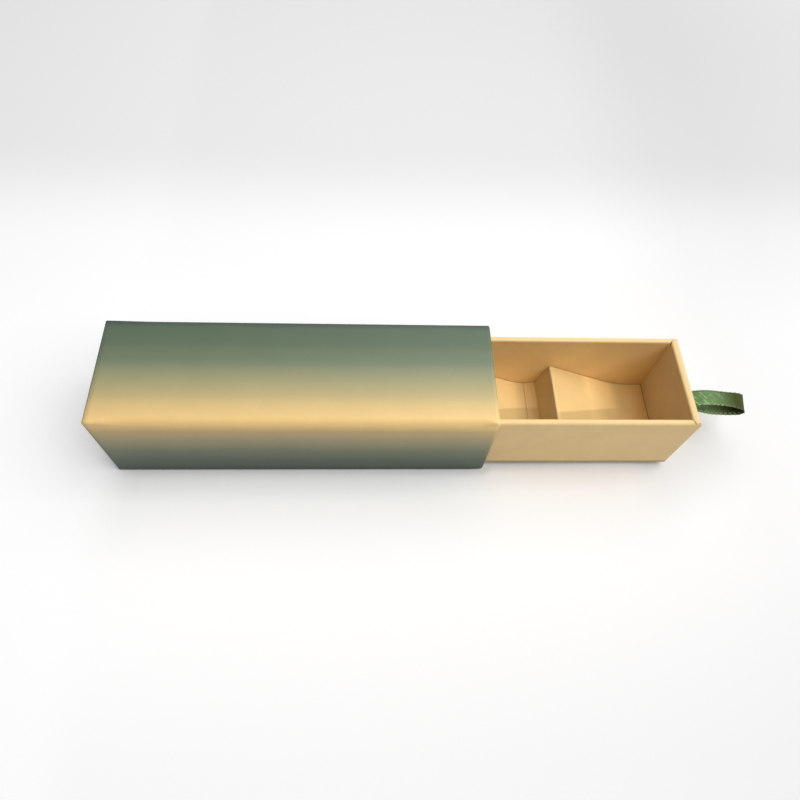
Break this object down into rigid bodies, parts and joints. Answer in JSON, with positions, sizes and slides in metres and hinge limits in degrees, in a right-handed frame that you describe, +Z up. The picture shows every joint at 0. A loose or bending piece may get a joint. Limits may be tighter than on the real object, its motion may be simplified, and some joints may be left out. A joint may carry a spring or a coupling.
{
  "type": "sliding drawer box",
  "caption": "Slim rigid gift box: a greyboard sleeve closed at one end, with a lined tray that slides out on a ribbon loop and holds folded wedge cards as product rests.",
  "frame": {"origin": "centre of the sleeve's underside, on the surface that the box lies on", "axes": "+X the way the tray pulls out, -Y the sleeve's front, +Z up"},
  "size_m": [0.3486, 0.06, 0.056],
  "materials": {
    "printed_paper": "satin-laminated printed paper",
    "kraft_paper": "uncoated kraft-toned paper",
    "greyboard": "raw greyboard",
    "gummed_tape": "gummed paper tape",
    "lining_paper": "uncoated kraft-toned paper",
    "insert_card": "folded kraft-toned card",
    "satin_ribbon": "woven satin ribbon"
  },
  "bodies": {
    "sleeve": {"sleeve_board": "greyboard", "sleeve_corner_tape": "gummed_tape", "sleeve_end_board": "greyboard", "sleeve_wrap": "printed_paper", "sleeve_end_paper": "printed_paper", "sleeve_base_sheet": "printed_paper", "sleeve_liner": "lining_paper", "sleeve_end_liner": "lining_paper"},
    "drawer": {"tray_base_board": "greyboard", "tray_front_board": "greyboard", "tray_back_board": "greyboard", "tray_inner_end_board": "greyboard", "tray_pull_end_board": "greyboard", "tray_pull_facing": "greyboard", "tray_stay_pull_front": "gummed_tape", "tray_stay_pull_back": "gummed_tape", "tray_stay_inner_front": "gummed_tape", "tray_stay_inner_back": "gummed_tape", "tray_wrap": "kraft_paper", "tray_floor_paper": "lining_paper", "ribbon_pull": "satin_ribbon", "ribbon_patch": "gummed_tape", "wedge_card_1": "insert_card", "wedge_card_2": "insert_card", "wedge_card_3": "insert_card"}
  },
  "joints": [
    {"name": "drawer_slide", "type": "slide", "parent": "sleeve", "child": "drawer", "axis": [1, 0, 0], "range_m": [-0.1052, 0.0863]}
  ]
}
